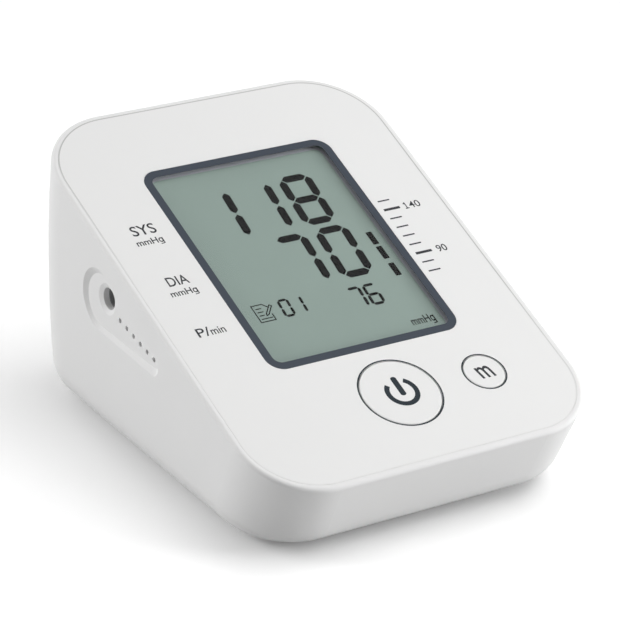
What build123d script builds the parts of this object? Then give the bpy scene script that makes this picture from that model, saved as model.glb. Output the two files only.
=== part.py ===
"""Desktop blood pressure monitor: the mains and battery unit that an upper-arm cuff plugs into.

Millimetres, +Z up, +X to the user's right, +Y away from the user.
The origin is on the table, under the middle of the case.
"""
import os
from math import atan, cos, radians, sin, tan

from build123d import *

# ------------------------------------------------------------------ driving dimensions
# case
case_width = 102.6            # across the rim of the sloped deck
deck_angle = 22.0             # slope of the deck
deck_front_height = 22.4      # front edge of the deck above the table
foot_lift = 1.5               # gap that the feet leave under the case
wall = 2.2                    # case wall
floor_wall = 2.4              # underside of the case
wall_draft = 2.0              # degrees, side and front walls lean in below the deck
front_corner = 20.0
back_corner = 22.0
base_round = 10.0             # rounding between the walls and the underside
rim_round = 1.0
back_bulge = 3.0              # how far the back wall bows out
back_kick = 1.0               # how far the back wall's foot stands behind its top

# deck and face plate
rim_band = 1.8                # rim of the case that shows round the face plate
face_thickness = 1.4
face_gap = 0.05               # joint line round the face plate
deck_skin = 1.8               # case plastic under the face plate

# display
window_width = 58.0
window_length = 74.5
window_corner = 4.6
window_center = 77.0          # distance up the deck from its front edge
window_gap = 0.1
border_width = 2.25           # dark border laid into the window's face
border_depth = 0.15
glass_width = 55.6
glass_length = 72.2
glass_thickness = 2.4
glass_drop = 1.7              # top of the glass below the deck
frame_wall = 1.3              # white frame round the glass
frame_corner = 0.6
zebra_width = 2.0             # rubber connector strips under the glass

# buttons
power_radius = 10.93          # middle of the gap round the cap
power_up = 23.9               # distance up the deck
memory_radius = 5.7
memory_up = 23.9
memory_side = 25.9
button_gap = 0.2              # gap round a cap
button_travel = 0.5
cap_thickness = 1.6
flange_gap = 0.15             # play under the case skin
flange_thickness = 1.0        # hidden flange that keeps a cap in
flange_reach = 0.8
stem_radius = 2.2
cap_skirt = 1.3
cap_edge = 0.15
switch_size = 6.0             # body of a tact switch
switch_height = 3.0
plunger_radius = 1.6
plunger_rise = 0.8            # plunger above the switch body
plunger_sunk = 1.2            # plunger inside the switch body
running_gap = 0.06            # radial clearance of a sliding or turning pin

# main board
board_width = 66.0
board_start = 8.0             # lower edge, up the deck
board_end = 121.0
board_drop = 9.0              # top face below the deck
board_thickness = 1.6
post_radius = 2.6
post_places = [(18.0, 12.5), (27.5, 36.4), (28.0, 118.0)]   # mirrored to the other side
board_screw_radius = 0.9
board_screw_length = 5.0
board_head_radius = 1.8
board_head_height = 1.2

# bottom cover and battery bay
cover_front = 17.3            # cover edge behind the front of the deck
cover_ahead = 21.3            # cover ahead of the battery bay
cover_behind = 18.1           # cover behind it
cover_corner = 10.0
cover_gap = 0.15
ledge_width = 1.6             # ledge of the case that the cover seats on
ledge_thickness = 1.0
cell_diameter = 14.2
cell_length = 49.5            # without the positive cap
cap_radius = 2.7
cap_height = 1.0
cell_pitch = 15.1
cell_count = 4
bay_wall = 1.2
spring_length = 6.2
contact_thickness = 0.4
door_thickness = 1.75
door_gap = 0.2
door_ledge = 1.25
tab_width = 6.0
tab_reach = 2.4
tab_thickness = 1.2
tab_places = [-18.0, 18.0]
door_corner = 2.0
latch_width = 14.0            # springy tongue at the door's back edge
latch_length = 9.0
notch_radius = 7.0            # finger hollow beside the tongue
groove_count = 4              # grip grooves across the tongue
groove_pitch = 1.5
groove_radius = 0.4
contact_half = 6.0            # half the width of a contact plate
coil_radius = 3.6
coil_wire = 0.4
coil_turns = 3.5

# screws, towers and feet
tower_radius = 3.5
tower_top = 8.0               # top of the cover's screw towers above the table
boss_radius = 2.6
pilot_radius = 1.15
pilot_depth = 9.0
screw_radius = 1.1
screw_length = 8.0
screw_head_radius = 2.6
screw_head_height = 1.6
boss_gap = 0.05               # bosses beside the bay and the display's frame
screw_front = 14.45           # first screws behind the cover's front edge
screw_back = 13.05            # last screws ahead of its back edge
gusset_starts = [12.0, 36.0]  # lower ends of the ribs that brace the screw bosses
foot_radius = 4.5
foot_recess = 0.8
foot_inset = 7.85             # feet from the cover's side edges
foot_front = 6.6
foot_back = 5.3

# air connection
socket_radius = 2.7           # bore that the cuff's plug goes into
hole_radius = 3.0             # hole in the wall in front of it
hole_cone = 1.3               # how much wider the hole's mouth is
hole_cone_depth = 0.6
socket_depth = 9.0
socket_wall = 1.8
socket_flange = 1.4
socket_end = 1.2              # end wall that carries the barb
socket_up = 42.1              # height of the hole above the table
socket_ahead = 30.15          # ahead of the pump's axis
dish_radius = 7.3             # round end of the recess on the left wall
dish_depth = 1.1
dish_slope = 55               # degrees, its sides lean out this far
dish_shift = (2.6, -1.5)      # middle of that round end from the hole
tail_radius = 1.5
tail_shift = (-25.2, -7.6)
vent_radius = 0.7
vent_count = 6
vent_start = (-6.8, -3.3)     # first small hole from the socket
vent_step = (-3.49, -0.734)

# pump
pump_gap = 1.6                # pump behind the battery bay
pump_behind = 0.32            # deck's back edge behind the pump
pump_up = 18.2                # axis above the table
pump_head_radius = 13.0
pump_head_length = 22.0
motor_radius = 12.0
motor_length = 29.0
pump_start = -27.0            # closed end of the head
bush_radius = 3.0             # bearing bush on the motor's end
bush_height = 1.2
terminal_side = 6.5           # the motor's two terminals beside it
terminal_width = 2.2
terminal_thickness = 0.5
terminal_length = 3.4
sleeve_wall = 1.0             # rubber sleeve round the motor
sleeve_length = 14.0
shaft_radius = 1.0
hub_radius = 4.0
hub_length = 5.0
crank_offset = 1.5            # throw of the slanted drive pin
drive_pin_radius = 0.8
rocker_radius = 9.0
rocker_thickness = 2.0
cup_radius = 3.2
cup_count = 3
cup_circle = 5.9              # radius of the circle that the cups stand on
head_wall = 2.0
rocker_gap = 1.5              # rocker behind the hub
diaphragm_thickness = 1.0
valve_plate_thickness = 2.0
pump_cap_length = 5.0
head_hold = 4.0               # where the pump is held, ahead of the motor and ahead of its end
motor_hold = 8.0

# tubes and valve
tube_radius = 2.5
tube_bore = 1.55
barb_radius = 1.5
barb_length = 5.0
air_way = 0.7                 # radius of the air passages
joint_up = 29.0               # height of the four-way joint
joint_radius = 3.0
tube_bend = 5.0
sensor_bend = 3.5
joint_space = 3.3             # straight tube between the socket's barb and the bend down to the joint
turn_space = 5.5              # from the joint's rear port to the sensor tube's first bend
valve_side = 6.0              # near end of the valve
valve_length = 18.0
valve_width = 13.0
plunger_bore = 2.6
valve_travel = 0.8

# mains socket
jack_ahead = 24.25            # ahead of the pump's axis
jack_up = 18.0
jack_width = 9.0
jack_height = 11.0
jack_length = 12.0
jack_bore = 2.85
jack_bore_depth = 9.5
jack_pin = 1.0
pocket_depth = 8.0            # ribs of the case round the socket

# parts on the board
chip_size = 10.0
chip_height = 1.4
chip_up = 60.0
buzzer_radius = 6.0
buzzer_height = 3.5
buzzer_side = 17.0
buzzer_up = 62.0
capacitor_radius = 2.5
capacitor_height = 7.0
capacitor_ups = (58.0, 66.0)
header_up = 46.0              # header for the wires of the pump, the valve and the batteries
header_pins = 6
header_pitch = 2.0
header_length = 14.0
header_width = 4.6
header_height = 6.0
sensor_size = 9.0
sensor_height = 5.0
sensor_offset = 11.0          # sensor to the right of the four-way joint
sensor_shift = -3.5           # down the deck from above the four-way joint

# ------------------------------------------------------------------ places worked out from them
slope = radians(deck_angle)
bay_length = cell_count * cell_pitch + 0.2
bay_set_back = cover_front + cover_ahead
pump_back = bay_set_back + bay_length + bay_wall + pump_gap + pump_head_radius
deck_run = pump_back + pump_head_radius + pump_behind
deck_rise = deck_run * tan(slope)
case_depth = deck_run + back_bulge + back_kick / 2 - rim_round * 0.3
front_y = -case_depth / 2 - rim_round * 0.3
back_y = front_y + deck_run
base_z = foot_lift
top_z = deck_front_height + deck_rise
deck = Plane(origin=(0, front_y, deck_front_height), x_dir=(1, 0, 0), z_dir=(0, -sin(slope), cos(slope)))
far = 3 * case_width          # larger than the case, for cutting blocks

bay_width = cell_length + cap_height + spring_length + 2 * contact_thickness
screw_side = max(bay_width / 2 + bay_wall, glass_width / 2 + frame_wall) + boss_radius + boss_gap
cover_width = 2 * (screw_side + tower_radius + ledge_width + cover_gap)
cover_length = cover_ahead + bay_length + cover_behind
cover_mid_y = front_y + cover_front + cover_length / 2
cover_top_z = base_z + floor_wall
bay_y = front_y + bay_set_back
bay_mid_y = bay_y + bay_length / 2
cell_z = base_z + door_thickness + door_gap + cell_diameter / 2 + 0.3
bay_roof_z = cell_z + cell_diameter / 2 + 0.5
board_under = board_drop + board_thickness
pump_y = front_y + pump_back
motor_start = pump_start + pump_head_length
motor_end = motor_start + motor_length
hold_places = (motor_start - head_hold, motor_end - motor_hold)
socket_y = pump_y - socket_ahead
skin_under = face_thickness + deck_skin
flange_top = skin_under + flange_gap
flange_bottom = flange_top + flange_thickness
plunger_top = board_drop - switch_height - plunger_rise
screw_seat_z = tower_top - 2.0


def depth_of(point):
    """how far a point lies below the deck's face"""
    return -deck.to_local_coords(point).Z


def wall_sink(y, z):
    """how far the drafted side wall's outer face lies inside the rim's width"""
    return depth_of(Vector(0, y, z)) * tan(radians(wall_draft))


socket_face = -case_width / 2 + wall_sink(socket_y, socket_up) + dish_depth + wall
barb_base = socket_face + socket_depth + socket_end
joint_side = barb_base + barb_length + tube_bend + joint_space
wall_inside = -case_width / 2 + wall_sink(pump_y, pump_up) + wall
pump_run_x = (wall_inside - screw_side - boss_radius) / 2
sensor_side = joint_side + sensor_offset
sensor_up = (socket_y - front_y) / cos(slope) + sensor_shift
jack_y = pump_y - jack_ahead
jack_face = case_width / 2 - wall_sink(jack_y + jack_width, jack_up - jack_height) - wall


# ------------------------------------------------------------------ helpers
def box_between(low, high):
    """a box from its lowest to its highest corner"""
    size = [h - l for l, h in zip(low, high)]
    middle = [(h + l) / 2 for l, h in zip(low, high)]
    return Pos(*middle) * Box(*size)


def rod_x(radius, x0, x1, y, z):
    """a round rod along X"""
    return Pos((x0 + x1) / 2, y, z) * Rot(0, 90, 0) * Cylinder(radius, abs(x1 - x0))


def rod_z(radius, x, y, z0, z1):
    """a round rod along Z"""
    return Pos(x, y, (z0 + z1) / 2) * Cylinder(radius, z1 - z0)


def rod_deck(radius, x, up, top, bottom):
    """a round rod square to the deck, from one depth to another below its face"""
    return deck * Pos(x, up, -(top + bottom) / 2) * Cylinder(radius, bottom - top)


def plate_deck(width, length, corner, up, top, bottom):
    """a rounded plate parallel to the deck, between two depths below its face"""
    outline = Pos(0, up) * RectangleRounded(width, length, corner)
    return deck * Pos(0, 0, -bottom) * extrude(outline, amount=bottom - top)


def edges_where(shape, test):
    """the edges of a shape whose two ends and middle pass a test"""
    return [edge for edge in shape.edges() if test(*(edge.position_at(t) for t in (0, 1, 0.5)))]


def behind(plane):
    """a block that fills the space behind a plane"""
    return plane * Pos(0, 0, -far / 2) * Box(2 * far, 2 * far, far)


def wall_plane(direction, distance):
    """outer face of a wall that stands square to the deck, leaning in below it by the draft"""
    lean = radians(wall_draft)
    outward = direction * cos(lean) - deck.z_dir * sin(lean)
    return Plane(origin=deck.origin + direction * distance, z_dir=outward)


def case_form(inset, drop, lift, rim=0.0):
    """The solid form of the case, walls moved in by inset, deck lowered by drop, base raised by lift.

    The front and side walls stand square to the deck, apart from their draft.
    The back wall is upright and bows out.
    """
    form = behind(deck.offset(-drop)) & box_between((-far, -far, base_z + lift), (far, far, far))
    form &= behind(wall_plane(-deck.y_dir, -inset))
    for side in (-1, 1):
        form &= behind(wall_plane(Vector(side, 0, 0), case_width / 2 - inset))
    foot = Vector(back_y - inset + back_kick, base_z)
    head = Vector(back_y - inset, top_z)
    bow = ThreePointArc(foot, (foot + head) / 2 + Vector(back_bulge, 0), head)
    ahead = Polyline(head, (head.X, far), (-far, far), (-far, -far), (foot.X, -far), foot)
    form &= extrude(Plane.YZ * make_face([bow, ahead]), amount=far, both=True)

    def upright(side):
        def test(start, end, middle):
            return abs((end - start).normalized().Z) > 0.85 and (middle.Y - cover_mid_y) * side > 0
        return test

    form = fillet(edges_where(form, upright(-1)), front_corner - inset)
    form = fillet(edges_where(form, upright(1)), back_corner - inset)
    level = base_z + lift
    base_edges = edges_where(form, lambda start, end, middle: abs(middle.Z - level) < 0.01)
    form = fillet(base_edges, base_round - inset)
    if rim:
        rim_edges = edges_where(form, lambda start, end, middle: abs(depth_of(middle)) < 0.01)
        form = fillet(rim_edges, rim)
    return form


def cover_outline(shrink):
    """the outline of the bottom cover, made smaller all round"""
    outline = RectangleRounded(cover_width - 2 * shrink, cover_length - 2 * shrink, cover_corner - shrink)
    return Pos(0, cover_mid_y) * outline


def cover_slab(shrink, low, high):
    """a slab of the bottom cover's outline between two heights"""
    return Pos(0, 0, low) * extrude(cover_outline(shrink), amount=high - low)


def screw(head_radius, head_height, radius, length):
    """a pan head screw on the Z axis, its head's underside at zero, pointing up"""
    head = Pos(0, 0, -head_height / 2) * Cylinder(head_radius, head_height)
    head = chamfer(head.edges().sort_by(Axis.Z)[0], head_height * 0.3)
    slot_width = head_height * 0.35
    slot_length = head_radius * 1.1
    cross = Box(slot_length, slot_width, head_height) + Box(slot_width, slot_length, head_height)
    shank = Pos(0, 0, length / 2) * Cylinder(radius, length)
    shank = chamfer(shank.edges().sort_by(Axis.Z)[-1], radius * 0.5)
    return head + shank - Pos(0, 0, -head_height) * cross


def group(shapes):
    """separate solids that share one node"""
    solids = [solid for shape in shapes for solid in shape.solids()]
    return Compound(children=solids)


def sweep_spring(length):
    """a coil spring that stands on the XY plane"""
    rise = length - 2 * coil_wire
    path = Helix(pitch=rise / coil_turns, height=rise, radius=coil_radius)
    start = Plane(origin=path @ 0, z_dir=path % 0)
    return Pos(0, 0, coil_wire) * sweep(start * RegularPolygon(coil_wire, 6), path=path, is_frenet=True)


os.makedirs("parts", exist_ok=True)


def save(name, shape):
    export_step(shape, f"parts/{name}.step")
    return shape


def cover_places(x, front, back):
    """four places on the bottom cover, measured from its front and back edges"""
    ends = (cover_mid_y - cover_length / 2 + front, cover_mid_y + cover_length / 2 - back)
    return [(side * x, y) for side in (-1, 1) for y in ends]


screw_places = cover_places(screw_side, screw_front, screw_back)
gussets = gusset_starts * 2
foot_places = cover_places(cover_width / 2 - foot_inset, foot_front, foot_back)
all_posts = [(side * x, up) for side in (-1, 1) for x, up in post_places]


# ------------------------------------------------------------------ case
def wall_outline(places_and_radii, grow):
    """hull of circles on the left wall's plane, given from the socket as (back, up, radius)"""
    circles = [Pos(back, up) * Circle(radius + grow) for back, up, radius in places_and_radii]
    return make_hull([edge for circle in circles for edge in circle.edges()])


def upper_housing():
    outer = case_form(0, 0, 0, rim_round)
    inner = case_form(wall, skin_under, floor_wall)
    shell = outer - inner

    # shallow seat for the face plate
    shell -= case_form(rim_band, 0, 0) - behind(deck.offset(-face_thickness))

    # openings in the skin under the face plate
    through = skin_under + 1
    shell -= plate_deck(glass_width + 0.4, glass_length + 0.4, 0.8, window_center, 0, through)
    shell -= rod_deck(power_radius + button_gap / 2, 0, power_up, 0, through)
    shell -= rod_deck(memory_radius + button_gap / 2, memory_side, memory_up, 0, through)

    # stepped opening for the bottom cover
    shell -= cover_slab(0, 0, cover_top_z - ledge_thickness)
    shell -= cover_slab(ledge_width, 0, cover_top_z + 1)

    # screw bosses from the deck down to the cover's towers, braced to the walls
    for (x, y), gusset_start in zip(screw_places, gussets):
        boss = rod_z(boss_radius, x, y, tower_top + 0.05, far)
        gusset = box_between((min(x, 2 * x), y - 0.6, gusset_start), (max(x, 2 * x), y + 0.6, far))
        shell += (boss + gusset) & inner
        shell -= rod_z(pilot_radius, x, y, 0, tower_top + pilot_depth)

    # posts that the main board screws to
    for x, up in all_posts:
        shell += rod_deck(post_radius, x, up, skin_under - 0.2, board_drop)
        shell -= rod_deck(board_screw_radius + 0.05, x, up, board_drop - board_screw_length, board_drop + 1)

    # ribs that hold the pump down on its cradle
    for x in hold_places:
        rib = box_between((x - 0.9, pump_y + 2, pump_up), (x + 0.9, far, far)) & inner
        shell += rib - rod_x(pump_head_radius + 0.1, x - 2, x + 2, pump_y, pump_up)

    # recess, socket hole and small holes on the left wall
    on_wall = Plane(origin=(-case_width / 2 + wall_sink(socket_y, socket_up), socket_y, socket_up),
                    x_dir=(0, 1, 0), z_dir=(1, 0, 0))
    shapes = [(*dish_shift, dish_radius), (*tail_shift, tail_radius)]
    floor = on_wall.offset(dish_depth)
    recess = floor * extrude(wall_outline(shapes, 0), amount=-dish_depth * 3, taper=-dish_slope)
    pad = floor * extrude(wall_outline(shapes, 1.0), amount=wall)
    shell += pad & outer
    shell -= recess
    shell -= rod_x(hole_radius, -far, socket_face + 1, socket_y, socket_up)
    mouth = Cone(hole_radius + hole_cone, hole_radius, hole_cone_depth)
    shell -= floor * Pos(0, 0, hole_cone_depth / 2) * mouth
    for i in range(vent_count):
        y = socket_y + vent_start[0] + i * vent_step[0]
        z = socket_up + vent_start[1] + i * vent_step[1]
        shell -= rod_x(vent_radius, -far, socket_face + 1, y, z)

    # mains socket: hole in the right wall, and a pocket of ribs behind it
    half_width = jack_width / 2
    half_height = jack_height / 2
    pocket = box_between((jack_face - pocket_depth, jack_y - half_width - 1.3, jack_up - half_height - 1.3),
                         (far, jack_y + half_width + 1.3, jack_up + half_height))
    pocket -= box_between((0, jack_y - half_width - 0.1, jack_up - half_height - 0.1),
                          (far, jack_y + half_width + 0.1, far))
    shell += pocket & inner
    shell -= rod_x(jack_bore + 0.6, jack_face - 1, far, jack_y, jack_up)
    return shell


def faceplate():
    plate = case_form(rim_band + face_gap, 0, 0) - behind(deck.offset(-face_thickness))
    through = face_thickness + 1
    plate -= plate_deck(window_width + 2 * window_gap, window_length + 2 * window_gap,
                        window_corner + window_gap, window_center, -1, through)
    plate -= rod_deck(power_radius + button_gap / 2, 0, power_up, -1, through)
    plate -= rod_deck(memory_radius + button_gap / 2, memory_side, memory_up, -1, through)
    return plate


def bottom_cover():
    cover = cover_slab(cover_gap, base_z, cover_top_z - ledge_thickness)
    cover += cover_slab(ledge_width + cover_gap, base_z, cover_top_z)

    # battery bay
    half = bay_width / 2
    back = bay_y + bay_length
    bay_top = bay_roof_z + bay_wall
    cover += box_between((-half - bay_wall, bay_y - bay_wall, base_z),
                         (half + bay_wall, back + bay_wall, bay_top))
    cover -= box_between((-half, bay_y, 0), (half, back, bay_roof_z))
    # recess for the door, square at its front corners
    step = base_z + door_thickness + 0.1
    cover -= Pos(0, bay_mid_y, 0) * extrude(door_outline(0), amount=step)
    cover -= box_between((-half - door_ledge, bay_y - door_ledge, 0),
                         (half + door_ledge, bay_y - door_ledge + door_corner, step))
    slot_half = tab_width / 2 + 0.4
    slot_front = bay_y - door_ledge - tab_reach - 0.4
    slot_low = base_z + door_thickness - 0.15
    slot_high = base_z + door_thickness + tab_thickness + 2
    for x in tab_places:
        cover -= box_between((x - slot_half, slot_front, slot_low),
                             (x + slot_half, bay_y + 0.1, slot_high))
    cover -= Pos(0, back + door_ledge, base_z) * Sphere(notch_radius)

    # screw towers, foot recesses
    for x, y in screw_places:
        cover += rod_z(tower_radius, x, y, base_z, tower_top)
        cover -= rod_z(screw_head_radius + 0.3, x, y, 0, screw_seat_z)
        cover -= rod_z(screw_radius + 0.25, x, y, 0, tower_top + 1)
    for x, y in foot_places:
        cover -= rod_z(foot_radius + 0.05, x, y, 0, base_z + foot_recess)

    # cradle for the pump
    cradle_back = cover_mid_y + cover_length / 2 - ledge_width - cover_gap
    for x in hold_places:
        saddle = box_between((x - 1, back + bay_wall - 0.5, cover_top_z - 0.5),
                             (x + 1, cradle_back, pump_up - 4))
        cover += saddle - rod_x(pump_head_radius + 0.05, x - 2, x + 2, pump_y, pump_up)

    # seat for the valve on the bay's roof
    half_seat = valve_width / 2 + 0.1
    seat_z = joint_up - valve_width / 2
    seat = box_between((valve_side + 1, socket_y - half_seat - 1.2, bay_top - 0.5),
                       (valve_side + valve_length - 1, socket_y + half_seat + 1.2, seat_z + 4))
    seat -= box_between((0, socket_y - half_seat, seat_z), (far, socket_y + half_seat, far))
    seat -= box_between((valve_side + 4, 0, 0), (valve_side + valve_length - 4, far, seat_z - 1.2))
    return cover + seat


def door_outline(shrink):
    """outline of the battery door, or of its recess, about the middle of the bay"""
    reach = 2 * (door_ledge - shrink)
    return RectangleRounded(bay_width + reach, bay_length + reach, door_corner - shrink)


def battery_door():
    door = Pos(0, bay_mid_y, base_z) * extrude(door_outline(door_gap), amount=door_thickness)
    edge = bay_y - door_ledge + door_gap
    top = base_z + door_thickness
    for x in tab_places:
        left = x - tab_width / 2
        right = x + tab_width / 2
        door += box_between((left, edge - tab_reach, top), (right, edge + 2, top + tab_thickness))
        door += box_between((left, edge, top - 1), (right, edge + 2, top + 0.5))
    # rounded front edge that the door tips on, as wide as the door
    bead_y = edge + door_thickness / 2
    half = bay_width / 2 + door_ledge - door_gap
    door -= box_between((-far, edge - 0.1, 0), (far, bead_y, top))
    door += box_between((-half, bead_y, base_z), (half, bead_y + door_corner, top))
    door += rod_x(door_thickness / 2, -half, half, bead_y, base_z + door_thickness / 2)

    # springy tongue for the finger, cut free on its two sides
    rear = bay_y + bay_length + door_ledge - door_gap
    for side in (-1, 1):
        slot_x = side * latch_width / 2
        door -= box_between((slot_x - 0.4, rear - latch_length, 0), (slot_x + 0.4, rear + 1, far))
    thinned = rear - latch_length
    door -= box_between((-latch_width / 2, thinned, top - 0.5), (latch_width / 2, rear - 2, far))
    for i in range(groove_count):
        y = rear - 1.6 - i * groove_pitch
        door -= rod_x(groove_radius, -latch_width / 2 + 2.5, latch_width / 2 - 2.5, y, base_z)
    return door


save("upper_housing", upper_housing())
save("faceplate", faceplate())
save("bottom_cover", bottom_cover())
save("battery_door", battery_door())

for (x, y), name in zip(foot_places, ("front_left", "back_left", "front_right", "back_right")):
    foot = rod_z(foot_radius, x, y, 0, base_z + foot_recess)
    save(f"foot_{name}", chamfer(foot.edges().sort_by(Axis.Z)[0], 0.4))

case_screw = screw(screw_head_radius, screw_head_height, screw_radius, screw_length)
save("case_screws", group([Pos(x, y, screw_seat_z) * case_screw for x, y in screw_places]))


# ------------------------------------------------------------------ display
def frame_block(grow, top, bottom):
    """a block round the display glass, larger than it all round by grow"""
    return plate_deck(glass_width + 2 * grow, glass_length + 2 * grow, frame_corner,
                      window_center, top, bottom)


def window_plate(shrink, corner, top, bottom):
    """a plate of the window's outline, made smaller all round"""
    return plate_deck(window_width - 2 * shrink, window_length - 2 * shrink, corner,
                      window_center, top, bottom)


border = window_plate(0, window_corner, 0, border_depth)
border -= window_plate(border_width, window_corner - border_width, -1, face_thickness)
save("display_window", window_plate(0, window_corner, 0, face_thickness) - border)
save("window_border", border)
glass_bottom = glass_drop + glass_thickness
save("lcd_glass", frame_block(0, glass_drop, glass_bottom))
lcd_frame = frame_block(frame_wall, skin_under, board_drop) - frame_block(0.1, 0, glass_bottom)
lcd_frame -= frame_block(-frame_wall, 0, board_drop + 1)
save("lcd_frame", lcd_frame)
strip_up = glass_length / 2 - frame_wall - zebra_width / 2
save("lcd_connector_strips", group([
    deck * Pos(0, window_center + side * strip_up, -(glass_bottom + board_drop) / 2)
    * Box(glass_width - 2 * frame_wall - 1.5, zebra_width, board_drop - glass_bottom) for side in (-1, 1)]))


# ------------------------------------------------------------------ buttons
def button_cap(radius, side, up):
    """a cap with a skirt, a hidden flange that keeps it in, and a stem down to the switch"""
    cap_radius_here = radius - button_gap / 2
    cap = rod_deck(cap_radius_here, side, up, 0, flange_bottom)
    cap = chamfer(edges_where(cap, lambda a, b, c: abs(depth_of(c)) < 0.01), cap_edge)
    cap += rod_deck(radius + button_gap / 2 + flange_reach, side, up, flange_top, flange_bottom)
    cap -= rod_deck(cap_radius_here - cap_skirt, side, up, cap_thickness, flange_bottom + 1)
    cap += rod_deck(stem_radius, side, up, cap_thickness - 0.2, plunger_top)
    for turn in (0, 90):
        rib = deck * Pos(side, up, -(cap_thickness + flange_bottom) / 2) * Rot(0, 0, turn)
        cap += rib * Box(2 * (cap_radius_here - cap_skirt / 2), 0.9, flange_bottom - cap_thickness)
    return cap


def tact_switch(side, up):
    """the switch's body and its plunger"""
    top = board_drop - switch_height
    middle = deck * Pos(side, up, -board_drop + switch_height / 2)
    bore_bottom = top + plunger_sunk + button_travel + 0.3
    body = middle * Box(switch_size, switch_size, switch_height)
    body -= rod_deck(plunger_radius + running_gap, side, up, top - 1, bore_bottom)
    plunger = rod_deck(plunger_radius, side, up, plunger_top, top + plunger_sunk)
    return body, plunger


buttons = [("power", power_radius, 0, power_up), ("memory", memory_radius, memory_side, memory_up)]
for name, radius, side, up in buttons:
    save(f"{name}_button", button_cap(radius, side, up))
    body, plunger = tact_switch(side, up)
    save(f"{name}_switch", body)
    save(f"{name}_switch_plunger", plunger)


# ------------------------------------------------------------------ main board
board_middle = (board_start + board_end) / 2
board = plate_deck(board_width, board_end - board_start, 2.0, board_middle, board_drop, board_under)
boss_clear = boss_radius + 0.5
for x, y in screw_places:
    board -= rod_z(boss_clear, x, y, 0, far)
    board -= box_between((min(x, 2 * x), y - boss_clear, 0), (max(x, 2 * x), y + boss_clear, far))
for x, up in all_posts:
    board -= rod_deck(board_screw_radius + 0.15, x, up, board_drop - 1, board_under + 1)
save("main_board", board)
board_screw = screw(board_head_radius, board_head_height, board_screw_radius, board_screw_length - 0.5)
save("board_screws", group([deck * Pos(x, up, -board_under) * board_screw for x, up in all_posts]))

chip = deck * Pos(0, chip_up, -board_under - chip_height / 2) * Box(chip_size, chip_size, chip_height)
save("controller_chip", chamfer(chip.edges(), 0.2))
buzzer_bottom = board_under + buzzer_height
buzzer = rod_deck(buzzer_radius, buzzer_side, buzzer_up, board_under, buzzer_bottom)
save("buzzer", buzzer - rod_deck(1.0, buzzer_side, buzzer_up, board_under + 1, buzzer_bottom + 1))


def capacitor(up):
    """an electrolytic can that hangs under the board, with a crimped waist near its foot"""
    can = rod_deck(capacitor_radius, -buzzer_side, up, board_under, board_under + capacitor_height)
    can = chamfer(can.edges(), 0.3)
    waist = rod_deck(capacitor_radius + 1, -buzzer_side, up, board_under + 1.2, board_under + 1.8)
    return can - (waist - rod_deck(capacitor_radius - 0.3, -buzzer_side, up, board_under, board_under + 3))


save("board_capacitors", group([capacitor(up) for up in capacitor_ups]))
shroud = plate_deck(header_length, header_width, 0.3, header_up, board_under, board_under + header_height)
shroud -= plate_deck(header_length - 1.6, header_width - 1.6, 0.3, header_up, board_under + 1.5,
                     board_under + header_height + 1)
for i in range(header_pins):
    pin_x = (i - (header_pins - 1) / 2) * header_pitch
    shroud += rod_deck(0.4, pin_x, header_up, board_under + 1, board_under + header_height - 1)
save("wire_header", shroud)
sensor_bottom = board_under + sensor_height
sensor_middle = deck * Pos(sensor_side, sensor_up, -(board_under + sensor_bottom) / 2)
sensor = sensor_middle * Box(sensor_size, sensor_size, sensor_height)
sensor = chamfer(edges_where(sensor, lambda a, b, c: depth_of(c) > sensor_bottom - 0.01), 0.8)
sensor += rod_deck(barb_radius, sensor_side, sensor_up, sensor_bottom, sensor_bottom + barb_length)
sensor -= rod_deck(air_way, sensor_side, sensor_up, sensor_bottom, sensor_bottom + barb_length + 1)
save("pressure_sensor", sensor)

# ------------------------------------------------------------------ batteries and contacts
cell_places = [bay_y + 0.1 + cell_pitch * (i + 0.5) for i in range(cell_count)]
plate_x = bay_width / 2 - contact_thickness / 2
spring = sweep_spring(spring_length)
springs = []
for i, y in enumerate(cell_places):
    end = 1 if i % 2 == 0 else -1
    tip = end * (bay_width / 2 - contact_thickness)
    top = tip - end * cap_height
    cell = rod_x(cell_diameter / 2, top, top - end * cell_length, y, cell_z)
    cell = chamfer(cell.edges(), 0.4)
    cell += rod_x(cap_radius, tip, tip - end * (cap_height + 0.5), y, cell_z)
    save(f"battery_cell_{i + 1}", cell)
    springs.append(Pos(-tip, y, cell_z) * Rot(0, 90 * end, 0) * spring)
save("contact_springs", group(springs))


def contact(side, first, last):
    """a contact plate that spans the cells from first to last at one end of the bay"""
    low = cell_places[first] - contact_half
    high = cell_places[last] + contact_half
    return box_between((side * plate_x - contact_thickness / 2, low, cell_z - contact_half),
                       (side * plate_x + contact_thickness / 2, high, cell_z + contact_half))


save("contact_plates", group([contact(1, 0, 1), contact(1, 2, 3), contact(-1, 0, 0),
                              contact(-1, 1, 2), contact(-1, 3, 3)]))


# ------------------------------------------------------------------ pump
def tube_cut(outer, inner, x0, x1):
    """a ring along the pump's axis"""
    return rod_x(outer, x0, x1, pump_y, pump_up) - rod_x(inner, x0 - 1, x1 + 1, pump_y, pump_up)


def around_pump(angle, radius, x):
    """a point on a circle about the pump's axis"""
    return (x, pump_y + radius * cos(radians(angle)), pump_up + radius * sin(radians(angle)))


crank_end = pump_start + pump_cap_length + valve_plate_thickness + diaphragm_thickness
hub_start = motor_start - head_wall - 0.5
hub_end = hub_start - hub_length
rocker_near = hub_end - rocker_gap
rocker_far = rocker_near - rocker_thickness

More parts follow.
